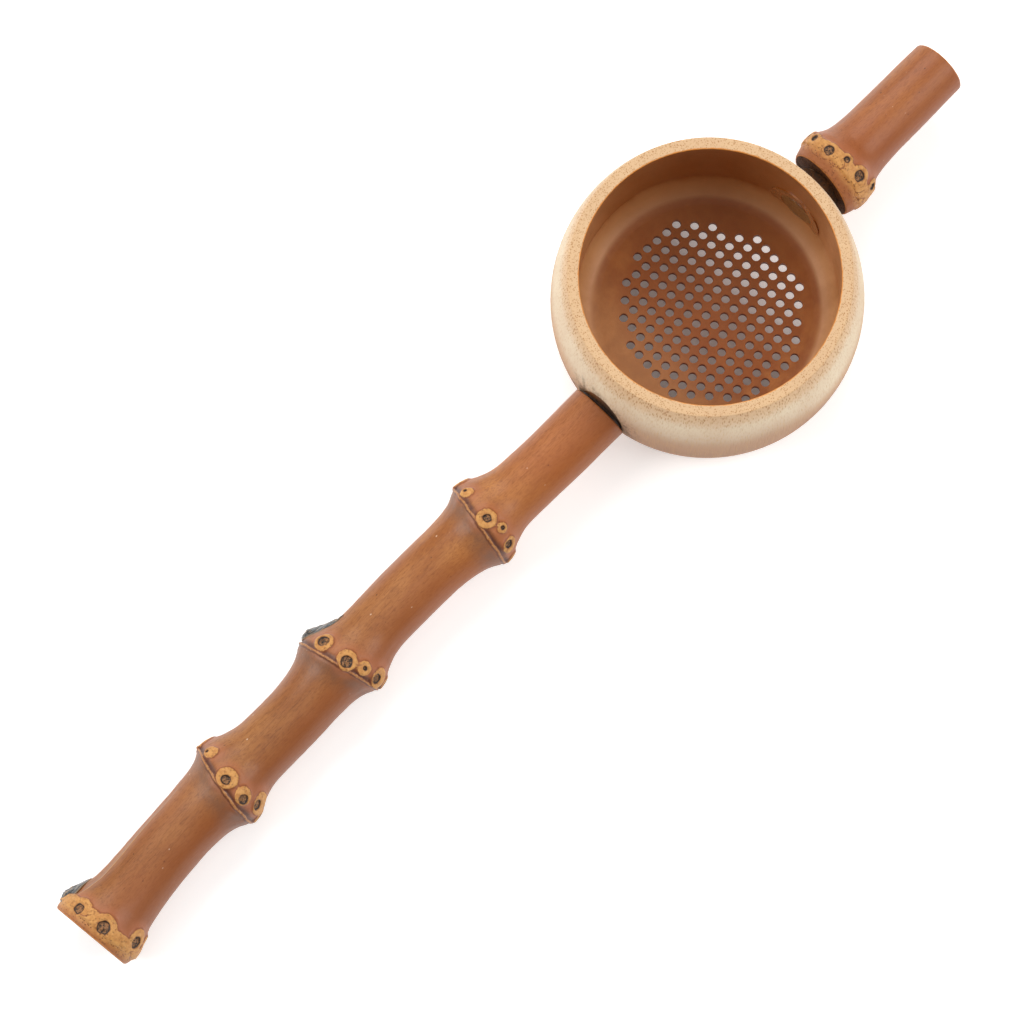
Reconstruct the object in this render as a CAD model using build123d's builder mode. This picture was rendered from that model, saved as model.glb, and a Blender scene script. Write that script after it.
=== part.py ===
from build123d import *
import os
from math import cos, radians, sin, tan

# Bamboo tea strainer, in millimetres. The cup is one turned length of bamboo culm whose
# natural partition is the drilled floor. A knuckled rhizome handle runs along +X and a
# short rhizome rest runs along -X. Each is glued over a dowel that passes the cup's wall.
# +Z is up along the cup's axis, and the origin is the centre of the face it stands on.

# ---- cup -----------------------------------------------------------------------------
cup_height = 34.0
rim_radius = 27.0
rim_wall = 2.3
rim_edge = 0.3
shoulder_radius = 29.1
shoulder_height = 25.0
belly_radius = 30.15
belly_height = 14.5
lower_radius = 29.3
lower_height = 6.0
foot_radius = 26.6
foot_ring = 3.6
foot_edge = 0.5
bowl_radius = 25.5
bowl_middle = 20.0
floor_height = 7.1
floor_edge_radius = 20.7
floor_thickness = 1.4
recess_fillet = 2.0
seat_x = 29.5

# ---- straining holes: a square grid, turned a little against the handle ----------------
hole_pitch = 2.5
hole_diameter = 1.7
grid_turn = -5.8
grid_x = -1.55
grid_y = 1.18
first_row = -6
# the first and the last hole of each row, counted from the grid's own middle
row_ends = [(-2, 3), (-3, 4), (-5, 5), (-6, 6)]
row_ends += [(-7, 7)] * 5
row_ends += [(-6, 7), (-6, 6), (-5, 5), (-4, 4), (-2, 3)]

# ---- handle --------------------------------------------------------------------------
axis_height = 13.5
handle_gap = 0.4
handle_start = seat_x + handle_gap
handle_start_diameter = 12.1
handle_droop = 3.8
handle_end = 169.0
handle_end_diameter = 16.4
handle_end_lean = -4.5
# the narrow places between the knuckles: x, y of the middle, diameter
waists = [(42.0, -0.3, 12.0), (81.0, -2.4, 12.3), (114.0, -1.65, 12.4), (148.0, -1.6, 12.9)]
# the knuckles: x, y of the middle, diameter at the ridge, lean of the ridge in degrees
knuckles = [(62.0, -1.45, 16.9, 14.0), (98.2, -2.3, 17.0, -7.0), (131.2, -1.85, 16.9, 11.0)]
knuckles += [(167.2, -0.3, 17.4, handle_end_lean)]
# how a knuckle swells: distance along the handle from its ridge, share of the swelling
ridge_shape = [(-8.5, 0.05), (-5.2, 0.24), (-3.0, 0.62), (-1.2, 0.95), (0.0, 1.0)]
ridge_shape += [(1.5, 0.78), (3.2, 0.36), (6.0, 0.13), (10.0, 0.02)]
section_step = 2.0
# no station closer than this to the sawn end
end_margin = 1.0

# ---- rest stub: distance along its own middle from the cup's end, diameter --------------
rest_start = 31.9
rest_droop = 4.8
rest_lean = 5.2
rest_y = 0.1
rest_sections = [(0.0, 14.4), (2.0, 15.6), (4.6, 16.0), (6.8, 15.5), (9.0, 13.5), (11.6, 12.5)]
rest_sections += [(16.0, 12.0), (24.0, 11.9), (33.9, 11.7)]
rest_step = 1.7
rest_lean_fades = 8.0

# ---- dowels and glue -------------------------------------------------------------------
dowel_diameter = 7.8
dowel_edge = 0.5
dowel_inner_x = 25.1
handle_dowel_depth = 16.0
rest_dowel_depth = 14.0
glue_radius = 4.8
rest_glue_inner_x = 27.4
rest_glue_length = 7.0
smear_radius = 6.3
smear_thickness = 0.25
smear_reach = 3.15

os.makedirs("parts", exist_ok=True)


def hole_places():
    """Centres of the straining holes, row by row."""
    along = (cos(radians(grid_turn)), sin(radians(grid_turn)))
    places = []
    for row, (first, last) in enumerate(row_ends, start=first_row):
        for hole in range(first, last + 1):
            x = grid_x + hole_pitch * (row * along[0] - hole * along[1])
            y = grid_y + hole_pitch * (row * along[1] + hole * along[0])
            places.append((x, y))
    return places


def between(stations, place):
    """The values at a place, in straight steps between the stations around it."""
    for low, high in zip(stations, stations[1:]):
        if place <= high[0]:
            share = (place - low[0]) / (high[0] - low[0])
            return [a + share * (b - a) for a, b in zip(low, high)]
    return list(stations[-1])


def even_steps(start, end, step):
    """Evenly spaced places from start to end, about a step apart."""
    count = round(abs(end - start) / step)
    return [start + (end - start) * number / count for number in range(count + 1)]


def handle_middles():
    """Where the handle's middle runs: x and y at its ends, narrow places and knuckles."""
    middles = [(handle_start, 0.0), (handle_end, knuckles[-1][1])]
    middles += [(x, y) for x, y, diameter in waists]
    middles += [(x, y) for x, y, diameter, lean in knuckles]
    return sorted(middles)


def handle_widths():
    """x, diameter and lean of the handle wherever its width is known."""
    widths = [(handle_start, handle_start_diameter, 0.0)]
    widths += [(x, diameter, 0.0) for x, y, diameter in waists]
    for number, (x, y, ridge, lean) in enumerate(knuckles):
        for offset, share in ridge_shape:
            if x + offset < handle_end - end_margin:
                nearest = number if offset < 0 else min(number + 1, len(waists) - 1)
                waist = waists[nearest][2]
                widths.append((x + offset, waist + (ridge - waist) * share, lean * share))
    widths.append((handle_end, handle_end_diameter, handle_end_lean))
    return sorted(widths)


def handle_height(x):
    """Height of the handle's middle: it leaves the cup drooping and levels out at its end."""
    length = handle_end - handle_start
    left = (handle_end - x) / length
    drop = tan(radians(handle_droop)) * length / 2
    return axis_height - drop * (1 - left * left)


def cross_plane(x, y, z, turn, droop):
    """A plane across the rhizome: its normal is turned from +X and droops, in degrees."""
    along = (cos(radians(turn)), sin(radians(turn)), -tan(radians(droop)))
    return Plane(origin=(x, y, z), x_dir=(-along[1], along[0], 0), z_dir=along)


# ---- the cup: turned outside, natural wall and partition inside, foot ring below ---------
with BuildPart() as cup:
    with BuildSketch(Plane.XZ):
        with BuildLine():
            rim_outer = (rim_radius, cup_height)
            rim_inner = (rim_radius - rim_wall, cup_height)
            floor_edge = (floor_edge_radius, floor_height)
            corner = bowl_radius - floor_edge_radius
            bowl_low = (bowl_radius, floor_height + corner)
            foot_outer = (foot_radius, 0)
            foot_inner = (foot_radius - foot_ring, 0)
            recess_top = floor_height - floor_thickness
            recess_wall = (foot_inner[0], recess_top - recess_fillet)
            recess_flat = (foot_inner[0] - recess_fillet, recess_top)
            Spline(
                rim_outer,
                (shoulder_radius, shoulder_height),
                (belly_radius, belly_height),
                (lower_radius, lower_height),
                foot_outer,
            )
            Polyline(foot_outer, foot_inner, recess_wall)
            RadiusArc(recess_wall, recess_flat, -recess_fillet)
            Polyline(recess_flat, (0, recess_top), (0, floor_height), floor_edge)
            RadiusArc(floor_edge, bowl_low, -corner)
            ThreePointArc(bowl_low, (bowl_radius, bowl_middle), rim_inner)
            Line(rim_inner, rim_outer)
        make_face()
    revolve(axis=Axis.Z)
    rims = cup.edges().filter_by(GeomType.CIRCLE).group_by(Axis.Z)
    fillet(rims[-1], rim_edge)
    chamfer(rims[0], foot_edge)
    # the flat seat that the handle is glued to
    with BuildSketch(Plane.YZ.offset(seat_x)):
        with Locations((0, cup_height / 2)):
            Rectangle(2 * belly_radius, 2 * cup_height)
    extrude(amount=belly_radius, mode=Mode.SUBTRACT)
    # one drill pass through both walls for the dowels
    with BuildSketch(Plane.YZ):
        with Locations((0, axis_height)):
            Circle(dowel_diameter / 2)
    extrude(amount=2 * belly_radius, both=True, mode=Mode.SUBTRACT)
    # the straining holes
    with BuildSketch(Plane.XY):
        with Locations(*hole_places()):
            Circle(hole_diameter / 2)
    extrude(amount=2 * floor_height, mode=Mode.SUBTRACT)
    cup.part.label = "cup"

# ---- the handle: rhizome cut just past a knuckle, bored for its dowel ---------------------
handle_face = cross_plane(handle_start, 0, axis_height, 0, handle_droop)
with BuildPart() as handle:
    widths = handle_widths()
    middles = handle_middles()
    for x in even_steps(handle_start, handle_end, section_step):
        diameter, lean = between(widths, x)[1:]
        y = between(middles, x)[1]
        droop = handle_droop * (handle_end - x) / (handle_end - handle_start)
        with BuildSketch(cross_plane(x, y, handle_height(x), lean, droop)):
            Circle(diameter / 2)
    loft(ruled=True)
    with BuildSketch(Plane.YZ.offset(seat_x)):
        with Locations((0, axis_height)):
            Circle(dowel_diameter / 2)
    extrude(amount=handle_gap + handle_dowel_depth, mode=Mode.SUBTRACT)
    handle.part.label = "handle"

# ---- the rest stub: the same rhizome, cut short beside a knuckle ---------------------------
rest_slope = tan(radians(rest_droop))
rest_face = cross_plane(-rest_start, rest_y, axis_height, 180 + rest_lean, rest_droop)
with BuildPart() as rest_stub:
    for along in even_steps(0, rest_sections[-1][0], rest_step):
        diameter = between(rest_sections, along)[1]
        lean = rest_lean * max(0, 1 - along / rest_lean_fades)
        height = axis_height - along * rest_slope
        with BuildSketch(cross_plane(-rest_start - along, rest_y, height, 180 + lean, rest_droop)):
            Circle(diameter / 2)
    loft(ruled=True)
    with BuildSketch(Plane.YZ.offset(-rest_start - rest_dowel_depth)):
        with Locations((0, axis_height)):
            Circle(dowel_diameter / 2)
    extrude(amount=2 * rest_dowel_depth, mode=Mode.SUBTRACT)
    rest_stub.part.label = "rest_stub"

# ---- the two dowels ------------------------------------------------------------------------
with BuildPart() as handle_dowel:
    with BuildSketch(Plane.YZ.offset(dowel_inner_x)):
        with Locations((0, axis_height)):
            Circle(dowel_diameter / 2)
    extrude(amount=handle_start + handle_dowel_depth - handle_gap - dowel_inner_x)
    chamfer(handle_dowel.edges().sort_by(Axis.X)[-1], dowel_edge)
    handle_dowel.part.label = "handle_dowel"

with BuildPart() as rest_dowel:
    with BuildSketch(Plane.YZ.offset(-dowel_inner_x)):
        with Locations((0, axis_height)):
            Circle(dowel_diameter / 2)
    extrude(amount=-(rest_start + rest_dowel_depth - dowel_inner_x))
    chamfer(rest_dowel.edges().sort_by(Axis.X)[0], dowel_edge)
    rest_dowel.part.label = "rest_dowel"

# ---- cured glue: a wedge under the handle's end, a bead behind the stub, a smear inside ---
with BuildPart() as handle_glue:
    with BuildSketch(Plane.YZ.offset(seat_x)):
        with Locations((0, axis_height)):
            Circle(glue_radius)
            Circle(dowel_diameter / 2, mode=Mode.SUBTRACT)
    extrude(amount=2 * handle_gap)
    split(bisect_by=handle_face, keep=Keep.BOTTOM)
    handle_glue.part.label = "handle_glue"

with BuildPart() as rest_glue:
    with BuildSketch(Plane.YZ.offset(-rest_glue_inner_x)):
        with Locations((0, axis_height)):
            Circle(glue_radius)
            Circle(dowel_diameter / 2, mode=Mode.SUBTRACT)
    extrude(amount=-rest_glue_length)
    split(bisect_by=rest_face, keep=Keep.BOTTOM)
    add(cup.part, mode=Mode.SUBTRACT)
    rest_glue.part.label = "rest_glue"

with BuildPart() as rest_glue_smear:
    with BuildSketch(Plane.YZ.offset(-bowl_radius - smear_thickness)):
        with Locations((0, axis_height)):
            Circle(smear_radius)
            Circle(dowel_diameter / 2, mode=Mode.SUBTRACT)
    extrude(amount=smear_reach)
    with BuildSketch(Plane.XY):
        Circle(bowl_radius - smear_thickness)
    extrude(amount=cup_height, mode=Mode.SUBTRACT)
    add(cup.part, mode=Mode.SUBTRACT)
    rest_glue_smear.part.label = "rest_glue_smear"

pieces = (cup, handle, rest_stub, handle_dowel, rest_dowel, handle_glue, rest_glue, rest_glue_smear)
for piece in pieces:
    export_step(piece.part, f"parts/{piece.part.label}.step")
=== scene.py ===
import math
import random

import bmesh
import bpy
from bpy.props import FloatProperty, FloatVectorProperty, IntProperty, PointerProperty
from mathutils import Matrix, Vector, noise


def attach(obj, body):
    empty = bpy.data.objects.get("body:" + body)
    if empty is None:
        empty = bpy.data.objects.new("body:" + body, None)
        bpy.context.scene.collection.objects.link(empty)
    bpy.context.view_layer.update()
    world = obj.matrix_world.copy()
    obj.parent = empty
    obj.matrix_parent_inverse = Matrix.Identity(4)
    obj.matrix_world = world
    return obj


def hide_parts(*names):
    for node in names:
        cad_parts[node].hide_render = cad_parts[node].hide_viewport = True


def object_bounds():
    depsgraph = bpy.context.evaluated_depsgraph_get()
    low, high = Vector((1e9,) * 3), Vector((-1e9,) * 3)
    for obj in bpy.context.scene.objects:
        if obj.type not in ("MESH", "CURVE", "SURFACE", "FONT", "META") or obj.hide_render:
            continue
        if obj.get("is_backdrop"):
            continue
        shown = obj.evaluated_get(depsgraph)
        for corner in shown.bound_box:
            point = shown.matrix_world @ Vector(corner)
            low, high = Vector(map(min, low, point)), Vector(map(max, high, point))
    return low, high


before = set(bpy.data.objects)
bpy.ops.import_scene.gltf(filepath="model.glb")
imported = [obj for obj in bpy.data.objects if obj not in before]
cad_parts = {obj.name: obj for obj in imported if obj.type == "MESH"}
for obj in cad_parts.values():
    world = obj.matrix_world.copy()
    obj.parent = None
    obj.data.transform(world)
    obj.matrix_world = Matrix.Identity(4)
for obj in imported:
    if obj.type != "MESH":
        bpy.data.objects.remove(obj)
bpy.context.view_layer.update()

bl_info = {
    "name": "Bamboo Tea Strainer",
    "version": (1, 0, 0),
    "blender": (4, 5, 0),
    "location": "View3D > Sidebar > Strainer",
    "description": "Finishes a turned bamboo tea strainer with a knuckled rhizome handle",
    "category": "Object",
}

MM = 0.001
BODY = "root"

# ---- where the rhizome runs, in millimetres along X -------
AXIS_HEIGHT = 13.5
HANDLE_START = 29.9
HANDLE_END = 169.0
HANDLE_DROOP = 3.8
HANDLE_END_LEAN = 4.5
REST_START = 31.9
REST_END = 65.8
REST_DROOP = 4.8
REST_LEAN = 5.2
# x, y of the handle's middle
HANDLE_MIDDLE = [
    (29.9, 0.0), (42.0, -0.3), (50.4, -0.75), (62.0, -1.45), (71.0, -2.05), (82.0, -2.4),
    (98.2, -2.3), (107.6, -1.8), (114.0, -1.65), (121.5, -1.75), (131.2, -1.9), (137.5, -2.1),
    (148.0, -1.6), (155.0, -1.0), (160.0, -0.5), (167.2, -0.3), (169.0, -0.3),
]
# x, radius of the plain stem between the knuckles, flaring at the free end
HANDLE_STEM = [
    (29.9, 6.05), (42.0, 5.98), (52.0, 6.05), (66.0, 6.2), (81.0, 6.15), (98.0, 6.2), (114.0, 6.2),
    (131.0, 6.35), (148.0, 6.42), (155.0, 6.6), (159.7, 7.05), (162.0, 7.6), (164.2, 8.25),
    (166.4, 8.62), (168.0, 8.45), (169.0, 8.2),
]
END_LEAN_FROM = 158.0
# distance from the stub's face, radius
REST_STEM = [
    (0.0, 7.15), (1.2, 7.55), (2.6, 7.9), (4.6, 8.02), (6.4, 7.75), (7.6, 7.2), (9.2, 6.6), (11.6, 6.22),
    (16.0, 6.0), (24.0, 5.95), (33.9, 5.85),
]
REST_Y = 0.1
# how far from its face the stub keeps its full lean, and how far to none
REST_LEAN_FADE = (1.0, 8.0)
# distance from a knuckle's ridge, share of the swelling
SWELL = [
    (-9.5, 0.0), (-8.0, 0.07), (-6.4, 0.24), (-4.6, 0.53), (-3.0, 0.8), (-1.8, 0.95), (-0.6, 1.0),
    (0.2, 0.97), (1.0, 0.8), (2.0, 0.57), (3.2, 0.37), (5.0, 0.2), (7.5, 0.07), (10.0, 0.0),
]
SWELL_REACH = 10
# ridge: x at the top, how it leans across, how it bows at the top, height of the swelling
KNUCKLES = [(61.9, 1.75, 0.45, 2.35), (99.7, -1.9, 0.7, 2.3), (131.0, 1.7, 0.95, 2.15)]
# root scars: x, angle from the top, radius, and the pit's radius, shift along x and turn
SCARS = [
    [
        (58.4, -80.0, 1.7, 0.6, 0.0, 0.0), (59.53, -39.4, 1.28, 0.3, -0.07, -3.5),
        (60.77, 7.1, 1.95, 0.8, -0.1, 0.6), (59.78, 31.0, 1.08, 0.42, 0.0, 0.6),
        (60.87, 59.1, 1.68, 0.85, 0.1, -2.7),
    ],
    [
        (98.87, -29.4, 1.92, 1.1, -0.12, -1.4), (98.40, 11.0, 2.0, 1.15, 0.24, 0.9),
        (97.12, 35.7, 1.42, 0.42, -0.08, 0.0), (96.4, 65.8, 2.02, 0.98, 0.39, -4.7),
    ],
    [
        (128.6, -84.0, 1.6, 0.6, 0.0, 0.0), (128.5, -41.0, 1.42, 0.3, 0.4, -4.6),
        (129.98, 2.6, 2.08, 0.92, 0.42, 0.5), (130.29, 34.4, 1.78, 0.95, 0.42, 3.0),
        (128.98, 70.7, 2.25, 1.0, 0.5, -6.0),
    ],
]
END_SCARS = [
    (166.62, -26.9, 2.3, 1.0, 0.08, -0.7), (166.01, 11.4, 2.6, 1.25, 0.04, 0.6),
    (163.61, 63.7, 2.3, 1.15, 0.25, -0.7), (163.3, 97.3, 1.9, 1.0, 0.0, 0.0),
]
REST_SCARS = [
    (-36.82, -52.0, 1.35, 0.72, 0.0, 0.0), (-36.29, -17.3, 1.85, 0.98, 0.0, 0.0),
    (-37.24, 8.9, 1.25, 0.6, 0.0, 0.0), (-36.88, 37.1, 2.1, 1.08, 0.0, 0.0),
    (-37.98, 70.0, 1.5, 0.7, 0.0, 0.0),
]
# scars on the side that faces down: their first and last angle, and x where no ridge leads them
KNUCKLE_HIDDEN = (84.0, 262.0)
END_HIDDEN = (124.0, 258.0, 165.0)
REST_HIDDEN = (82.0, 290.0, -37.4)
# their least and greatest radius and share of pit, and their distance from the ridge
HIDDEN_RADII = (1.2, 2.1)
HIDDEN_PITS = (0.42, 0.58)
HIDDEN_GAP = 0.35
END_SEED = 9
REST_SEED = 20
# pale bands: where each starts along x, and how deep its pale part is before it reddens
END_BAND = (164.7, 2.4)
REST_BAND = (-37.1, 2.2)
# bud grooves: where each starts and dies out along x, and its edge's angle there
GROOVES = [(97.0, 74.0, -60.0, -86.0), (166.0, 138.0, -50.0, -57.0)]
GROOVE_DYING = 0.75
# bud scales: x, angle, length, width, height
MIDDLE_HUSK = [
    (97.2, -86.0, 7.8, 8.0, 0.5), (98.3, -80.0, 5.6, 5.0, 0.8), (98.9, -76.0, 3.4, 3.0, 0.95),
    (94.6, -64.0, 5.4, 1.3, 0.3),
]
END_HUSK = [
    (164.9, -82.0, 7.8, 7.8, 0.45), (165.8, -76.0, 5.4, 5.0, 0.7), (166.3, -72.0, 3.4, 2.8, 0.85),
]
HUSK_RADIUS = 8.4
# x and reach of the places that get close rings
HANDLE_FINE = [(knuckle[0] - 1.0, 7.0) for knuckle in KNUCKLES] + [(165.5, 6.0)]
REST_FINE = [(-37.5, 6.5)]
CLOSE_RING = 0.25
WIDE_RING = 0.9
# shares of the radius on the two sawn faces, and inset and share round their edges
START_RINGS = (0.0, 0.25, 0.5, 0.75, 0.9, 0.97)
START_EDGE = ((0.06, 0.993), (0.2, 1.0))
START_INSET = 0.6
END_INSET = 0.7
END_EDGE = ((0.45, 1.0), (0.16, 0.99), (0.03, 0.965))
END_RINGS = (0.93, 0.85, 0.7, 0.5, 0.25, 0.0)
MERGE = 0.0001
# shares of the radius: the skin starts at the first, and a sawn face stays inside the other two
SKIN_SHARE = 0.99
END_FACE = 0.985
END_FACE_EDGE = 0.9999
# radius of a knuckle, to turn a length round it into an angle
KNUCKLE_RADIUS = 8.3
FAR = 99.0
# nothing dips below the face the cup stands on
LOWEST = 0.1

# ---- how deep the carving goes, in millimetres ------------
RIDGE_WANDER = 0.22
RIDGE_HEIGHT = 0.2
RIDGE_FALL = 0.2
RIDGE_GROOVE = 0.16
RIDGE_REACH = 3
NEAR_RIDGE = (6.0, 7.5)
BAND_RAGGED = 0.45
SKIN_WAVES = 0.07
SKIN_GRAIN = 0.03
SCAR_RAISED = 0.15
SCAR_MOAT = 0.1
SCAR_MOUND = 0.32
# deeper into a band than this, nothing is mounded
BAND_CORE = -2.6
SCAR_SEARCH = 6
SCAR_MERGE = 0.9
SCAR_BRIDGE = 0.22
PIT_DEPTH = 0.55
PIT_ROUGH = 0.22
PIT_NUB = 0.3
NUB_SHARE = 0.35
GROOVE_LIP = 0.06
GROOVE_DEPTH = 0.16

# ---- heights and reaches on the cup, in millimetres -------
RIM_TOP = (33.55, 33.8)
WALL_INNER = 26.05
# how far the edge between the finishes lies back on the rim itself
RIM_BACK = -1.25
FOOT_TOP = 5.72
SEAT_NEAR = (28.3, 29.4)
SEAT_FLAT = (29.42, 29.48)
SEAT_HIGH = (25.5, 22.5)
# the seat is an oval in y and height: a scale and a shift for each makes it a circle of radius one
SEAT_ACROSS = (200.0, -0.08)
SEAT_UP = (0.1075, -1.451)
HOLE_TOP = 7.02
HOLES_REACH = 21.0
FLOOR_TOP = (7.15, 7.6)
CUP_HEIGHT = 34.0
# shares of the height where the side's colours stand
SIDE_STOPS = (0.30, 0.52, 0.74, 0.93)
TO_MM = 1000.0
# metres to millimetres along the line halfway between X and Y
DIAGONAL_MM = 707.0

# ---- the stage, in metres and watts -----------------------
TABLE_HALF = 3.0
TABLE_X = 0.05
# the disc of the table that shows through the holes
TABLE_UNDER_CUP = (0.0225, 0.0235)
WORLD_LIGHT = 0.36
# name, place from the camera's aim, diameter, power
LAMPS = [
    ("key", (-0.62, -0.66, 0.85), 0.9, 6.6), ("left", (0.62, -0.64, 0.75), 0.8, 7.2),
    ("right", (-0.6, 0.62, 0.8), 0.8, 6.6), ("overhead", (0.12, 0.1, 1.35), 0.7, 1.8),
]
SENSOR = 36.0
CAMERA_RANGE = (0.01, 20.0)


def paint(code):
    """A colour from its six-digit code: linear light by the usual screen curve, and an alpha of one."""
    parts = [int(code[i:i + 2], 16) / 255 for i in (0, 2, 4)]
    light = [p / 12.92 if p <= 0.04045 else ((p + 0.055) / 1.055) ** 2.4 for p in parts]
    return (*light, 1.0)


def curve(stations, place):
    """The value at a place on a smooth curve through the stations."""
    if place <= stations[0][0]:
        return stations[0][1]
    if place >= stations[-1][0]:
        return stations[-1][1]
    i = next(n for n in range(len(stations) - 1) if place <= stations[n + 1][0])
    left, right = stations[i], stations[i + 1]
    before, after = stations[max(i - 1, 0)], stations[min(i + 2, len(stations) - 1)]
    gap = right[0] - left[0]
    t = (place - left[0]) / gap
    start = (right[1] - before[1]) / (right[0] - before[0]) * gap
    end = (after[1] - left[1]) / (after[0] - left[0]) * gap
    rise = t * t * (3 - 2 * t)
    return left[1] + (right[1] - left[1]) * rise + t * (1 - t) * ((1 - t) * start - t * end)


def fade(value, low, high):
    """0 at low, 1 at high, and a smooth step between them."""
    t = min(max((value - low) / (high - low), 0.0), 1.0)
    return t * t * (3 - 2 * t)


def bell(value, width):
    """1 at nought and falling off smoothly over the width."""
    return math.exp(-(value / width) ** 2)


def rough(x, y, z, size):
    """Smooth seeded roughness between about -1 and 1 with features of the given size."""
    return noise.noise(Vector((x, y, z)) / size)


# ---- node finishes ----------------------------------------
class Finish:
    """One procedural finish, built up node by node from the piece's own coordinates."""

    def __init__(self, name):
        self.material = bpy.data.materials.new(name)
        self.material.use_nodes = True
        self.tree = self.material.node_tree
        self.shader = self.tree.nodes["Principled BSDF"]
        self.place = self.node("ShaderNodeTexCoord").outputs["Object"]

    def node(self, kind, values=(), **settings):
        """A new node with its settings made and its sockets joined or set."""
        made = self.tree.nodes.new(kind)
        for key, value in settings.items():
            setattr(made, key, value)
        for socket, value in dict(values).items():
            self.join(value, made.inputs[socket])
        return made

    def join(self, value, socket):
        """Links another node's output to a socket, or sets the socket to a plain value."""
        if isinstance(value, bpy.types.NodeSocket):
            self.tree.links.new(value, socket)
        else:
            socket.default_value = value

    def reckon(self, operation, a, b=0.0, c=0.0):
        """One step of arithmetic."""
        return self.node("ShaderNodeMath", {0: a, 1: b, 2: c}, operation=operation).outputs[0]

    def plus(self, a, b):
        return self.reckon("ADD", a, b)

    def minus(self, a, b):
        return self.reckon("SUBTRACT", a, b)

    def times(self, a, b):
        return self.reckon("MULTIPLY", a, b)

    def sway(self, cloud, amount):
        """A noise brought to swing evenly either side of nought."""
        return self.times(self.minus(cloud, 0.5), amount)

    def out(self, x, y):
        """Distance from the cup's axis."""
        return self.reckon("SQRT", self.plus(self.times(x, x), self.times(y, y)))

    def step(self, value, low, high, to_low=0.0, to_high=1.0):
        """A smooth step from one share to another as a value goes from low to high."""
        made = self.node("ShaderNodeMapRange", {0: value, 1: low, 2: high, 3: to_low, 4: to_high})
        made.interpolation_type = "SMOOTHSTEP"
        return made.outputs[0]

    def fall(self, value, low, high):
        return self.step(value, low, high, 1.0, 0.0)

    def stripe(self, value, *edges):
        """1 between the inner two of four edges and 0 outside the outer two."""
        return self.times(self.step(value, *edges[:2]), self.fall(value, *edges[2:]))

    def mix(self, share, a, b, blend="MIX"):
        """The second colour laid over the first by a share."""
        made = self.node("ShaderNodeMix", data_type="RGBA", blend_type=blend)
        # a colour mix uses these of the node's sockets
        for value, socket in ((share, 0), (a, 6), (b, 7)):
            self.join(value, made.inputs[socket])
        return made.outputs[2]

    def stretched(self, stretch):
        """The piece's coordinates, with a number of features to a metre along each axis."""
        made = self.node("ShaderNodeVectorMath", {0: self.place, 1: stretch}, operation="MULTIPLY")
        return made.outputs[0]

    def noise(self, stretch, detail=2.0, roughness=0.5):
        """Cloudy noise between about 0 and 1."""
        values = {"Vector": self.stretched(stretch), "Scale": 1.0, "Detail": detail, "Roughness": roughness,
                  "Distortion": 0.0}
        return self.node("ShaderNodeTexNoise", values).outputs[0]

    def dots(self, stretch):
        """Distance to the nearest dot and that dot's own random number."""
        values = {"Vector": self.stretched(stretch), "Scale": 1.0, "Randomness": 1.0}
        made = self.node("ShaderNodeTexVoronoi", values)
        pick = self.node("ShaderNodeSeparateColor", {0: made.outputs["Color"]})
        return made.outputs["Distance"], pick.outputs[0]

    def layer(self, name):
        """A measure that the carving left on the mesh."""
        return self.node("ShaderNodeAttribute", attribute_name=name).outputs["Fac"]

    def axes(self):
        """The piece's x, y and z in metres."""
        return self.node("ShaderNodeSeparateXYZ", {0: self.place}).outputs

    def bump(self, height, depth, under=None):
        """A relief of a depth in metres, on top of the relief under it."""
        values = {"Height": height, "Distance": depth, "Strength": 1.0}
        if under is not None:
            values["Normal"] = under
        return self.node("ShaderNodeBump", values).outputs[0]

    def done(self, colour, roughness, normal=None, coat=0.0, coat_roughness=0.2, specular=0.5):
        """Joins the finish to its shader and gives its material."""
        settings = {"Base Color": colour, "Roughness": roughness, "Coat Weight": coat,
                    "Coat Roughness": coat_roughness, "Specular IOR Level": specular}
        if normal is not None:
            settings["Normal"] = normal
        for socket, value in settings.items():
            self.join(value, self.shader.inputs[socket])
        return self.material


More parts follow.
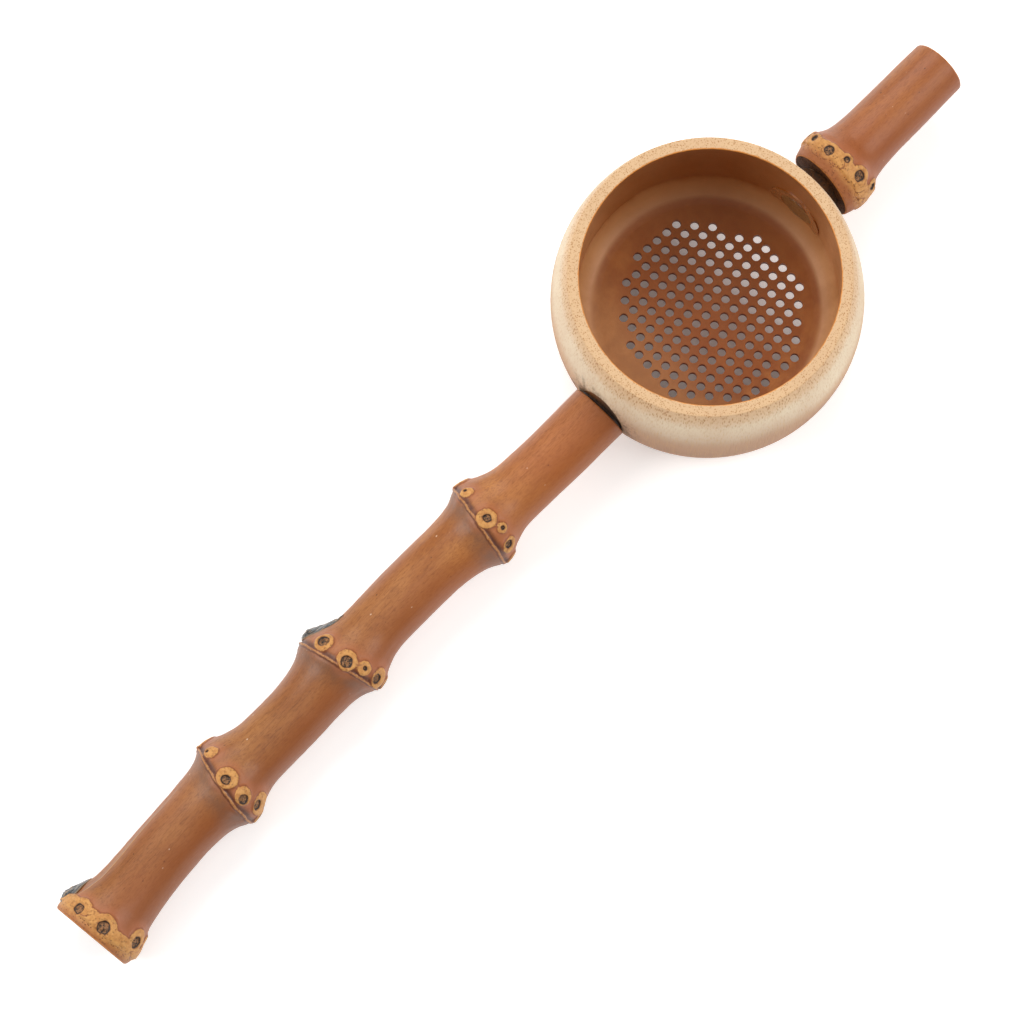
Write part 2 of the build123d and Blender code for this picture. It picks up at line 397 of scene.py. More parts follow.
def rhizome_finish(look):
    """Varnished rhizome skin: streaked brown stem, ochre root scars, dark pits and a dusty ridge."""
    f = Finish("varnished_rhizome")
    x, y = f.axes()[:2]
    clouds = f.noise((70, 160, 160), 3.0, 0.55)
    broad = f.noise((22, 60, 60), 1.0)
    streaks = f.noise((90, 2600, 2600), 3.0, 0.6)
    fine = f.noise((500, 5200, 5200), 2.0, 0.6)
    # streaks, grit and specks in the varnished stem
    stem = f.mix(f.step(clouds, 0.3, 0.7), look.stem_dark, look.stem_light)
    stem = f.mix(f.step(broad, 0.4, 0.65, 0.0, 0.55), stem, look.stem_rosy)
    stem = f.mix(f.step(streaks, 0.5, 0.78, 0.0, 0.5), stem, look.stem_streak)
    stem = f.mix(f.step(fine, 0.48, 0.72, 0.0, 0.6), stem, look.stem_streak)
    grit = f.noise((1300, 3600, 3600), 3.0, 0.7)
    stem = f.mix(f.step(grit, 0.52, 0.7, 0.0, 0.6), stem, look.stem_streak)
    stem = f.mix(f.step(grit, 0.46, 0.28, 0.0, 0.35), stem, look.scar_deep)
    patches = f.noise((260, 420, 420), 4.0, 0.65)
    stem = f.mix(f.step(patches, 0.56, 0.74, 0.0, 0.35), stem, look.stem_streak)
    spot, pick = f.dots((420, 620, 620))
    dark_spot = f.times(f.fall(spot, 0.05, 0.12), f.reckon("GREATER_THAN", pick, 0.68))
    stem = f.mix(f.times(dark_spot, 0.75), stem, look.pit)
    spot, pick = f.dots((310, 470, 470))
    pale_spot = f.times(f.fall(spot, 0.03, 0.08), f.reckon("GREATER_THAN", pick, 0.5))
    stem = f.mix(f.times(pale_spot, 0.8), stem, look.speck)

    # painted shade: the +Y side of the stem, away from the light, is painted a deep orange brown; the handle
    # is made darker towards its far end, and the rest darker too
    shaded_stem_side = f.step(f.plus(y, f.sway(broad, 0.01)), -0.0035, 0.004, 0.0, 0.75)
    stem = f.mix(shaded_stem_side, stem, look.stem_shade)
    stem = f.mix(f.step(x, 0.05, 0.11), stem, (0.8, 0.82, 0.86, 1.0), blend="MULTIPLY")
    stem = f.mix(f.fall(x, -0.034, -0.02), stem, (0.86, 0.8, 0.76, 1.0), blend="MULTIPLY")

    # distances to the scars, pits and ridges, made a little ragged
    wobble = f.sway(f.noise((1500, 1500, 1500), 3.0, 0.6), 0.55)
    patch = f.plus(f.layer("patch"), wobble)
    pit = f.plus(f.layer("pit"), f.times(wobble, 0.4))
    ridge = f.plus(f.layer("ridge"), wobble)
    near = f.layer("near")
    shade = f.layer("shade")

    # dust beyond each ridge, painted shade in the hollow before it and in the groove just beyond it, and the
    # ridge's own pale brim
    dusty = f.stripe(ridge, 0.2, 0.45, 0.8, 6.0)
    dusty = f.times(dusty, f.times(near, f.step(patches, 0.3, 0.6, 0.5, 1.0)))
    stem = f.mix(f.times(dusty, 0.72), stem, look.dust)
    blush = f.times(f.fall(patch, 0.1, 2.2), 0.6)
    stem = f.mix(blush, stem, look.scar_blush)
    hollow_shade = f.stripe(ridge, -1.7, -0.5, -0.35, -0.1)
    hollow_shade = f.times(hollow_shade, f.step(patches, 0.25, 0.55, 0.55, 1.0))
    stem = f.mix(f.times(hollow_shade, near), stem, look.hollow_shade)
    groove_shade = f.stripe(ridge, 0.08, 0.2, 0.3, 0.55)
    stem = f.mix(f.times(f.times(groove_shade, near), 0.75), stem, look.hollow_shade)
    brim = f.stripe(ridge, -0.3, -0.16, 0.06, 0.2)
    brim = f.times(brim, near)
    stem = f.mix(f.times(brim, f.step(grit, 0.42, 0.6, 0.95, 0.25)), stem, look.ridge)

    # pored and cracked ochre on the scars and bands, and fibre in the pits
    ochre = f.mix(f.step(f.noise((1100, 1100, 1100), 4.0, 0.7), 0.35, 0.7), look.scar_pale, look.scar_deep)
    pores, pick = f.dots((2300, 2300, 2300))
    pore_share = f.times(f.fall(pores, 0.18, 0.38), f.step(pick, 0.4, 0.55))
    ochre = f.mix(f.times(pore_share, f.step(shade, -1.2, 0.6, 0.12, 0.9)), ochre, look.outline)
    crack = f.reckon("ABSOLUTE", f.minus(f.noise((170, 100, 100), 2.0, 0.5), 0.5))
    crack = f.times(f.fall(crack, 0.002, 0.011), f.step(shade, -1.6, -0.9))
    ochre = f.mix(f.times(crack, f.step(shade, 0.6, 1.4, 0.7, 0.0)), ochre, look.outline)
    ochre = f.mix(f.step(shade, 0.0, 1.9, 0.0, 0.9), ochre, look.band)
    ochre = f.mix(f.step(pit, 0.02, 0.25, 0.5, 0.0), ochre, look.outline)
    colour = f.mix(f.fall(patch, -0.1, 0.1), stem, ochre)
    edge = f.stripe(patch, -0.08, 0.04, 0.08, 0.3)
    colour = f.mix(f.times(edge, 0.7), colour, look.outline)
    inside = f.mix(f.step(f.noise((1900, 1900, 1900), 4.0, 0.75), 0.4, 0.58), look.pit, look.pit_fibre)
    inside = f.mix(f.step(pit, -0.26, -0.08), inside, look.pit)
    colour = f.mix(f.fall(pit, -0.06, 0.1), colour, inside)

    # the bud grooves' pale lip and dusty bed, and the worn sawn edge
    groove = f.layer("groove")
    lip = f.times(f.fall(f.reckon("ABSOLUTE", groove), 0.05, 0.16), f.step(fine, 0.3, 0.5, 0.4, 1.0))
    colour = f.mix(f.times(lip, 0.7), colour, look.scar_pale)
    bed = f.times(f.step(groove, -1.0, -0.1, 0.0, 0.45), f.fall(groove, -0.1, 0.0))
    colour = f.mix(bed, colour, look.dust)
    worn = f.step(f.layer("rim"), 1.0, 1.16, 0.5, 0.0)
    colour = f.mix(worn, colour, look.edge_line)

    bare = f.fall(patch, 0.0, 0.2)
    roughness = f.mix(bare, f.step(clouds, 0.3, 0.7, 0.42, 0.54), (0.62, 0.62, 0.62, 1.0))
    normal = f.bump(f.noise((900, 900, 900), 4.0, 0.7), f.times(bare, 0.00022))
    normal = f.bump(streaks, 0.00004, normal)
    normal = f.bump(f.reckon("MAXIMUM", dark_spot, pore_share), f.times(bare, -0.0002), normal)
    return f.done(colour, roughness, normal, coat=0.12, coat_roughness=0.3, specular=0.4)


def end_grain_finish(look):
    """Sawn rhizome: brown pith with darker fibre bundles, and a bright worn line at the edge."""
    f = Finish("rhizome_end_grain")
    dots, pick = f.dots((300, 1700, 1700))
    bundle = f.fall(dots, 0.14, 0.36)
    base = f.mix(f.step(f.noise((300, 300, 300), 3.0), 0.35, 0.7), look.grain_dark, look.grain_light)
    colour = f.mix(f.times(bundle, f.step(pick, 0.2, 0.8, 0.3, 0.95)), base, look.pit)
    colour = f.mix(f.step(f.layer("rim"), 0.95, 0.99), colour, look.edge_line)
    normal = f.bump(bundle, -0.00025)
    return f.done(colour, f.step(dots, 0.1, 0.5, 0.9, 0.62), normal, specular=0.3)


def filler_finish(look):
    """Glue thickened with sawdust, dark also as painted shade in the joint's gap: dull, brown and porous,
    like the end grain beside it.
    """
    f = Finish("sawdust_glue_and_gap_shade")
    cloud = f.noise((900, 900, 900), 4.0, 0.7)
    colour = f.mix(f.step(cloud, 0.35, 0.7), look.grain_dark, look.grain_light)
    pores = f.dots((1500, 1500, 1500))[0]
    colour = f.mix(f.step(pores, 0.12, 0.34, 0.8, 0.0), colour, look.pit)
    return f.done(colour, f.step(cloud, 0.3, 0.7, 0.75, 0.95), f.bump(cloud, 0.0003), specular=0.3)


def husk_finish(look):
    """Old bud scales: slate grey to black, glossy, with torn pale edges."""
    f = Finish("bud_husk")
    cloud = f.noise((500, 900, 900), 4.0, 0.7)
    colour = f.mix(f.step(cloud, 0.38, 0.62), look.husk_dark, look.husk_slate)
    streak = f.noise((300, 2600, 2600), 3.0, 0.6)
    colour = f.mix(f.step(streak, 0.52, 0.62, 0.0, 0.85), colour, look.husk_tan)
    edge = f.layer("edge")
    colour = f.mix(f.step(edge, 0.72, 0.86), colour, look.husk_dark)
    colour = f.mix(f.step(edge, 0.93, 0.98, 0.0, 0.7), colour, look.husk_tan)
    normal = f.bump(streak, 0.0002)
    return f.done(colour, f.step(cloud, 0.3, 0.7, 0.22, 0.5), normal, coat=0.4, coat_roughness=0.15)


def cup_finish(look):
    """Turned culm: dotted straw rim, streaked cream and tan outside, varnished brown bowl and floor."""
    f = Finish("turned_bamboo")
    x, y, z = f.axes()
    reach = f.out(x, y)
    high = f.times(z, TO_MM)
    reach = f.times(reach, TO_MM)
    ragged = f.minus(f.noise((900, 900, 260), 4.0, 0.7), 0.5)

    # the two sides of the wall meet at the rim's inner edge
    top = f.step(high, *RIM_TOP)
    inner = f.reckon("MULTIPLY_ADD", top, RIM_BACK, WALL_INNER)
    inner = f.reckon("MULTIPLY_ADD", f.times(ragged, top), 0.55, inner)
    outside = f.step(f.minus(reach, inner), -0.05, 0.05)
    under = f.reckon("LESS_THAN", high, FOOT_TOP)
    outside = f.reckon("MAXIMUM", outside, under)

    # raw bamboo: fibre bundles stand upright, so they are dots on the rim and streaks on the side
    # painted shade and light: the side is painted a darker pinkish tan low down, where it faces down, and a
    # lighter cream on the shoulder
    tone = f.node("ShaderNodeValToRGB", {0: f.step(f.plus(high, f.times(ragged, 3.0)), 0.0, CUP_HEIGHT)})
    stops = tone.color_ramp.elements
    stops[0].color, stops[1].color = look.belly_shade, look.rim
    for share, shade in zip(SIDE_STOPS, (look.belly_shade, look.waist, look.shoulder, look.shoulder)):
        stops.new(share).color = shade
    raw = f.mix(f.step(f.noise((110, 110, 40), 3.0), 0.3, 0.72, 0.0, 0.35), tone.outputs[0], look.waist)
    # painted shade: the lower part of the culm's +X +Y side, away from the light, is painted a darker tan
    shaded_culm_side = f.times(f.plus(x, y), DIAGONAL_MM)
    shaded_culm_side = f.plus(shaded_culm_side, f.sway(f.noise((90, 90, 30), 3.0), 14.0))
    shaded_culm_side = f.times(f.step(shaded_culm_side, 15.0, 29.0, 0.0, 0.7), f.fall(high, 18.0, 29.0))
    raw = f.mix(shaded_culm_side, raw, look.shaded_culm_side)
    grain = f.noise((3600, 3600, 120), 3.0, 0.65)
    raw = f.mix(f.step(grain, 0.47, 0.75, 0.0, 0.5), raw, look.fibre_soft)
    outward = f.step(reach, 24.5, 27.5)
    dots, pick = f.dots((2900, 2900, 110))
    dot = f.fall(f.minus(dots, f.times(outward, 0.06)), 0.16, 0.44)
    dot = f.times(dot, f.step(pick, 0.0, 0.7, 0.35, 1.0))
    low_fade = f.step(high, 26.0, 33.2, 0.12, 0.9)
    raw = f.mix(f.times(dot, low_fade), raw, look.fibre)

    # the varnished bowl
    turning = f.noise((12, 12, 1300), 3.0, 0.6)
    mottle = f.noise((130, 130, 90), 4.0, 0.6)
    wall = f.mix(f.step(mottle, 0.3, 0.7), look.bowl_dark, look.bowl_light)
    wall = f.mix(f.step(turning, 0.48, 0.75, 0.0, 0.3), wall, look.bowl_dark)
    upright = f.noise((2200, 2200, 60), 2.0)
    wall = f.mix(f.step(upright, 0.5, 0.8, 0.0, 0.22), wall, look.bowl_dark)
    # painted shade: the wall on the -X -Y side, which faces away from the light, is painted the deep varnish
    # brown
    away = f.times(f.plus(x, y), -DIAGONAL_MM)
    wall = f.mix(f.step(away, 6.0, 20.0, 0.0, 0.75), wall, look.deep_varnish_and_shade)
    # a pale ragged tide line low on the wall, and a dark one under it
    tide = f.plus(high, f.sway(f.noise((160, 160, 30), 4.0, 0.7), 5.0))
    pale = f.step(tide, 9.5, 12.5, 0.45, 0.0)
    wall = f.mix(pale, wall, look.tide)
    torn = f.plus(tide, f.times(ragged, 1.5))
    line = f.stripe(torn, 11.4, 11.7, 11.8, 12.1)
    line = f.times(line, f.step(f.minus(x, y), 0.0, 0.02))
    wall = f.mix(f.times(line, 0.85), wall, look.deep_varnish_and_shade)
    ground = f.mix(f.step(f.noise((150, 150, 150), 5.0, 0.65), 0.35, 0.68), look.floor_dark, look.floor_light)
    stain = f.plus(reach, f.sway(f.noise((230, 230, 230), 3.0), 7.0))
    ground = f.mix(f.step(stain, 15.5, 18.5, 0.7, 0.0), ground, look.floor_stain_and_shade)
    fleck = f.noise((1400, 1400, 1400), 3.0, 0.7)
    ground = f.mix(f.step(fleck, 0.55, 0.75, 0.0, 0.3), ground, look.floor_dark)
    # painted shade and light: the floor is painted darker towards -X and -Y, in the shade of the wall nearest
    # the light, and paler towards +X, where the light reaches
    ground = f.mix(f.step(away, -12.0, 16.0, 0.0, 0.6), ground, look.deep_varnish_and_shade)
    ground = f.mix(f.step(x, -0.018, 0.01, 0.5, 0.0), ground, look.deep_varnish_and_shade)
    ground = f.mix(f.step(x, 0.004, 0.018, 0.0, 0.45), ground, look.tide)
    wall = f.mix(f.fall(high, *FLOOR_TOP), wall, ground)
    # painted shade: the walls of the holes are painted a darker red brown
    hole_wall_shade = f.times(f.reckon("LESS_THAN", high, HOLE_TOP), f.reckon("LESS_THAN", reach, HOLES_REACH))
    wall = f.mix(f.times(hole_wall_shade, 0.6), wall, look.floor_stain_and_shade)

    # the flat that the handle sits against is painted dark, partly for its glue and partly as painted shade
    # in the joint's narrow gap; glue has smudged the skin round it
    smudge = f.noise((500, 500, 350), 4.0, 0.7)
    close = f.step(f.times(x, TO_MM), *SEAT_NEAR)
    close = f.times(close, f.step(high, *SEAT_HIGH))
    raw = f.mix(f.times(close, f.step(smudge, 0.42, 0.66, 0.0, 0.6)), raw, look.seat_dark)
    seat = f.step(f.times(x, TO_MM), *SEAT_FLAT)
    across = f.reckon("MULTIPLY_ADD", y, *SEAT_ACROSS)
    up = f.reckon("MULTIPLY_ADD", high, *SEAT_UP)
    lens = f.plus(f.times(across, across), f.times(up, up))
    lens = f.plus(lens, f.times(ragged, 0.25))
    seat = f.times(seat, f.fall(lens, 0.94, 1.04))
    glue_and_shade = f.mix(f.step(f.times(y, TO_MM), -5.0, 2.5), look.seat, look.seat_dark)
    raw = f.mix(seat, raw, glue_and_shade)

    colour = f.mix(outside, wall, raw)
    gap = f.reckon("ABSOLUTE", f.plus(f.minus(reach, inner), 0.06))
    line = f.times(f.fall(gap, 0.08, 0.3), f.step(high, 33.2, 33.7))
    colour = f.mix(f.times(line, 0.85), colour, look.edge_line)
    gloss = f.step(f.plus(high, f.times(mottle, 4.0)), 9.0, 16.0, 0.55, 0.3)
    roughness = f.mix(outside, gloss, (0.68, 0.68, 0.68, 1.0))
    normal = f.bump(dot, f.times(outside, -0.00003))
    normal = f.bump(grain, f.times(outside, 0.00005), normal)
    normal = f.bump(turning, f.reckon("MULTIPLY_ADD", outside, -0.00002, 0.00002), normal)
    normal = f.bump(fleck, f.reckon("MULTIPLY_ADD", outside, -0.00004, 0.00004), normal)
    return f.done(colour, roughness, normal, coat=0.0, specular=0.4)


def dowel_finish(look):
    """Dowel bamboo: olive brown end grain and straight fibre."""
    f = Finish("dowel_bamboo")
    dots, pick = f.dots((120, 2400, 2400))
    base = f.mix(f.step(f.noise((200, 900, 900), 3.0), 0.35, 0.7), look.dowel_dark, look.dowel_light)
    dot = f.times(f.fall(dots, 0.12, 0.3), f.step(pick, 0.3, 0.7))
    colour = f.mix(f.times(dot, 0.6), base, look.pit_fibre)
    gloss = f.step(dots, 0.1, 0.5, 0.5, 0.34)
    return f.done(colour, gloss, f.bump(dot, -0.0001), coat=0.5, coat_roughness=0.12)


def glue_finish(look):
    """Set glue, very dark both as glue and as painted shade in the joint's gap: amber where it is thin, with
    a wrinkled gloss.
    """
    f = Finish("cured_glue")
    cloud = f.noise((500, 500, 500), 4.0, 0.65)
    colour = f.mix(f.step(cloud, 0.35, 0.7), look.glue_dark_and_gap_shade, look.glue_amber)
    normal = f.bump(f.noise((700, 700, 300), 3.0, 0.6), 0.0003)
    return f.done(colour, f.step(cloud, 0.3, 0.7, 0.4, 0.65), normal, coat=0.05, coat_roughness=0.2)


def smear_finish(look):
    """Glue wiped thin over the varnish inside the bowl."""
    f = Finish("wiped_glue")
    cloud = f.noise((260, 500, 500), 4.0, 0.65)
    colour = f.mix(f.step(cloud, 0.35, 0.7), look.deep_varnish_and_shade, look.bowl_dark)
    normal = f.bump(f.noise((300, 420, 420), 2.0, 0.5), 0.0005)
    return f.done(colour, f.step(cloud, 0.3, 0.7, 0.1, 0.22), normal, coat=0.6, coat_roughness=0.06)


# ---- rhizome pieces ---------------------------------------
def set_piece(bm, name, materials, replaced=None):
    """Turns a finished bmesh in millimetres into a piece that rides on the strainer."""
    bmesh.ops.scale(bm, vec=(MM, MM, MM), verts=bm.verts)
    mesh = bpy.data.meshes.new(name)
    bm.to_mesh(mesh)
    bm.free()
    piece = bpy.data.objects.new(name, mesh)
    bpy.context.scene.collection.objects.link(piece)
    for material in materials:
        mesh.materials.append(material)
    for face in mesh.polygons:
        face.use_smooth = True
    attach(piece, BODY)
    if replaced:
        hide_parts(replaced)
    return piece


def turned_blank(start, end, fine, around):
    """A closed tube of radius one along X with rounded ends and close rings at the fine places."""
    bm = bmesh.new()
    sign = 1 if end > start else -1
    places = [(start, share) for share in START_RINGS]
    places += [(start + sign * inset, share) for inset, share in START_EDGE]
    x = start + sign * START_INSET
    while (end - x) * sign > END_INSET:
        places.append((x, 1.0))
        centre, reach = min(fine, key=lambda item: abs(x - item[0]))
        x += sign * (CLOSE_RING if abs(x - centre) < reach else WIDE_RING)
    places += [(end - sign * inset, share) for inset, share in END_EDGE]
    places += [(end, share) for share in END_RINGS]
    points = [bm.verts.new((place, 0.0, share)) for place, share in places]
    edges = [bm.edges.new(pair) for pair in zip(points, points[1:])]
    bmesh.ops.spin(bm, geom=points + edges, cent=(0, 0, 0), axis=(1, 0, 0), dvec=(0, 0, 0),
                   angle=math.tau, steps=around, use_merge=True, use_duplicate=False)
    bmesh.ops.remove_doubles(bm, verts=bm.verts, dist=MERGE)
    return bm


def scar_layers(x, angle, radius, scars):
    """Signed distances in millimetres to the nearest scar's and pit's edge, and the pit's inner nub."""
    patch, pit, nub = FAR, FAR, 0.0
    for scar_x, scar_angle, scar_radius, pit_radius, shift, turn in scars:
        if abs(x - scar_x) > SCAR_SEARCH:
            continue
        across = math.radians((angle - scar_angle + 180) % 360 - 180) * radius
        distance = math.hypot(x - scar_x, across)
        if distance > SCAR_SEARCH:
            continue
        bearing = math.atan2(across, x - scar_x)
        edge = scar_radius * (1 + 0.09 * rough(math.cos(bearing), math.sin(bearing), scar_x, 0.8))
        # scars that nearly touch run into each other
        merged = max(SCAR_MERGE - abs(patch - distance + edge), 0.0) / SCAR_MERGE
        patch = min(patch, distance - edge) - SCAR_BRIDGE * merged * merged
        pit_across = across - math.radians(turn) * radius
        distance = math.hypot(x - scar_x - shift, pit_across)
        bearing = math.atan2(pit_across, x - scar_x - shift)
        edge = pit_radius * (1 + 0.12 * rough(math.cos(bearing), math.sin(bearing), scar_x + 5, 0.6))
        if distance - edge < pit:
            pit = distance - edge
            nub = bell(distance, pit_radius * NUB_SHARE)
    return patch, pit, nub


def shape_rhizome(bm, start, end, middle, girth, lean, ridges, scars, band, grooves):
    """Swells, bends and carves a turned blank into a length of rhizome."""
    names = ("patch", "pit", "ridge", "near", "shade", "groove", "rim")
    layers = {name: bm.verts.layers.float.new(name) for name in names}
    known = {}
    for vertex in bm.verts:
        x, share = vertex.co.x, math.hypot(vertex.co.y, vertex.co.z)
        angle = math.degrees(math.atan2(vertex.co.y, vertex.co.z))
        key = round(x, 3)
        if key not in known:
            known[key] = (middle(x), girth(x), lean(x))
        (mid_y, mid_z, slope), radius, turn = known[key]
        side, top = math.sin(math.radians(angle)), math.cos(math.radians(angle))
        edge = FAR
        # where this point will really lie along X once its ring is leant over
        tip = slope * top + turn * side
        real = x + tip * radius
        for ridge_x, across, bow, swelling in ridges:
            wander = RIDGE_WANDER * rough(side * 2, top * 2, ridge_x, 0.5)
            place = real - (ridge_x + across * side + bow * top + wander)
            if abs(place) < SWELL_REACH:
                radius += swelling * curve(SWELL, place)
            if abs(place) < abs(edge):
                edge = place
        # the swelling has moved it further
        real = x + tip * radius
        patch, pit, nub = scar_layers(real, angle, radius, scars)
        beyond = x - band[0] + BAND_RAGGED * rough(side * 3, top * 3, 1.5, 0.6)
        patch = min(patch, -beyond)
        shade = beyond - band[1]
        groove = FAR
        for origin, finish, first, last in grooves:
            along = (origin - real) / (origin - finish)
            if 0 < along < 1:
                line = first + (last - first) * along
                groove = math.radians(angle - line) * radius + 0.1 * rough(x, 0, 0, 3.0)
                # a groove dies out by drawing away from its line
                if along > GROOVE_DYING:
                    away = 2 * (along - GROOVE_DYING)
                    groove += away if groove > 0 else -away
        outward = SKIN_WAVES * rough(x * 0.25, side * 4, top * 4, 2.2)
        outward += SKIN_GRAIN * rough(x, side * 6, top * 6, 1.1)
        outward += SCAR_RAISED * (1 - fade(patch, -0.15, 0.25)) - SCAR_MOAT * bell(patch - 0.35, 0.3)
        if patch > BAND_CORE:
            outward += SCAR_MOUND * (1 - fade(patch, -0.4, 1.3))
        if pit < 1:
            carved = 1 - fade(pit, -0.3, 0.12)
            depth = PIT_DEPTH + PIT_ROUGH * rough(x, side * 8, top * 8, 0.28)
            outward -= carved * depth - PIT_NUB * carved * nub
        if abs(edge) < RIDGE_REACH:
            clear = fade(patch, -0.05, 0.25)
            raised = RIDGE_HEIGHT * bell(edge, 0.2) - RIDGE_FALL * bell(edge + 0.55, 0.3) * clear
            outward += raised - RIDGE_GROOVE * bell(edge - 0.42, 0.22)
        if -4 < groove < 0.6:
            outward += GROOVE_LIP * bell(groove, 0.14) - GROOVE_DEPTH * bell(groove + 1.3, 1.1)
        radius = share * (radius + outward * fade(share, 0.8, 1.0))
        off_y, off_z = radius * side, radius * top
        vertex.co = (x + slope * off_z + turn * off_y, mid_y + off_y, max(mid_z + off_z, LOWEST))
        near = 1 - fade(abs(edge), *NEAR_RIDGE)
        rim = share if share < SKIN_SHARE else 1 + min(abs(x - start), abs(x - end))
        for name, value in zip(names, (patch, pit, edge, near, shade, groove, rim)):
            vertex[layers[name]] = value


def mark_ends(bm):
    """Gives the sawn ends their own finish, the second of the piece's two."""
    rim = bm.verts.layers.float["rim"]
    for face in bm.faces:
        shares = [vertex[rim] for vertex in face.verts]
        if min(shares) < END_FACE and max(shares) < END_FACE_EDGE:
            face.material_index = 1


def handle_middle(x):
    """y, z and downward slope of the handle's middle."""
    left = (HANDLE_END - x) / (HANDLE_END - HANDLE_START)
    drop = math.tan(math.radians(HANDLE_DROOP))
    height = AXIS_HEIGHT - drop * (HANDLE_END - HANDLE_START) / 2 * (1 - left * left)
    return curve(HANDLE_MIDDLE, x), height, drop * left


def handle_lean(x):
    """How far the rings lean across at a place, as a slope."""
    return -math.tan(math.radians(HANDLE_END_LEAN)) * fade(x, END_LEAN_FROM, HANDLE_END)


def rest_middle(x):
    """y, z and downward slope of the stub's middle."""
    slope = math.tan(math.radians(REST_DROOP))
    return REST_Y, AXIS_HEIGHT - slope * (-x - REST_START), -slope


def rest_lean(x):
    """How far the stub's rings lean across at a place, as a slope."""
    full, none = REST_LEAN_FADE
    return math.tan(math.radians(REST_LEAN)) * (1 - fade(-x, REST_START + full, REST_START + none))


def hidden_scars(seed, first, last, centre=0.0, ridge=None):
    """Root scars for the side that faces down, in the same sizes as the ones on top."""
    draw = random.Random(seed)
    scars = []
    angle = first
    while angle < last:
        radius = draw.uniform(*HIDDEN_RADII)
        half = math.degrees(radius / KNUCKLE_RADIUS)
        angle += half
        side, top = math.sin(math.radians(angle)), math.cos(math.radians(angle))
        place = centre
        if ridge is not None:
            place = ridge[0] + ridge[1] * side + ridge[2] * top - radius - HIDDEN_GAP
        scars.append((place, angle, radius, radius * draw.uniform(*HIDDEN_PITS), 0.1, 0.0))
        angle += half + draw.uniform(2, 9)
    return scars


def bud_scales(name, material, scales):
    """A bud pressed flat on a knuckle: nested pointed scales, each a bent half shell."""
    bm = bmesh.new()
    edge_layer = bm.verts.layers.float.new("edge")
    for number, (x, angle, length, width, height) in enumerate(scales):
        made = bmesh.ops.create_uvsphere(bm, u_segments=40, v_segments=20, radius=1.0)["verts"]
        for vertex in made:
            along, across, up = vertex.co.y, vertex.co.x, vertex.co.z
            # a blunt foot at the ridge and a pointed tip towards the cup
            narrow = 1 - 0.55 * fade(-along, -0.2, 1.0)
            ripple = 0.3 * rough(along * 2, across * 2, number * 3.0 + x, 0.6)
            vertex[edge_layer] = min(1.0, math.hypot(along, across * 1.02)) if up > -0.2 else 1.0
            place_x = x + along * length / 2
            turn = math.radians(angle) + across * narrow * width / 2 / HUSK_RADIUS
            surface = handle_skin(place_x, math.degrees(turn))
            lift = surface + max(up, -0.3) * height * (1 + ripple) + 0.1 * ripple
            mid_y, mid_z, slope = handle_middle(place_x)
            vertex.co = (place_x + slope * lift * math.cos(turn), mid_y + lift * math.sin(turn),
                         mid_z + lift * math.cos(turn))
    bmesh.ops.recalc_face_normals(bm, faces=bm.faces)
    return set_piece(bm, name, [material])


def handle_skin(x, angle):
    """Radius of the handle's bare skin at a place along it and an angle round it."""
    radius = curve(HANDLE_STEM, x)
    side, top = math.sin(math.radians(angle)), math.cos(math.radians(angle))
    for ridge_x, across, bow, swelling in KNUCKLES:
        place = x - (ridge_x + across * side + bow * top)
        if abs(place) < SWELL_REACH:
            radius += swelling * curve(SWELL, place)
    return radius


# ---- user settings ----------------------------------------
def hue(name, description, code):
    """A colour property with its default given as a code."""
    return FloatVectorProperty(name=name, description=description, subtype="COLOR", size=4, min=0.0, max=1.0,
                               default=paint(code))


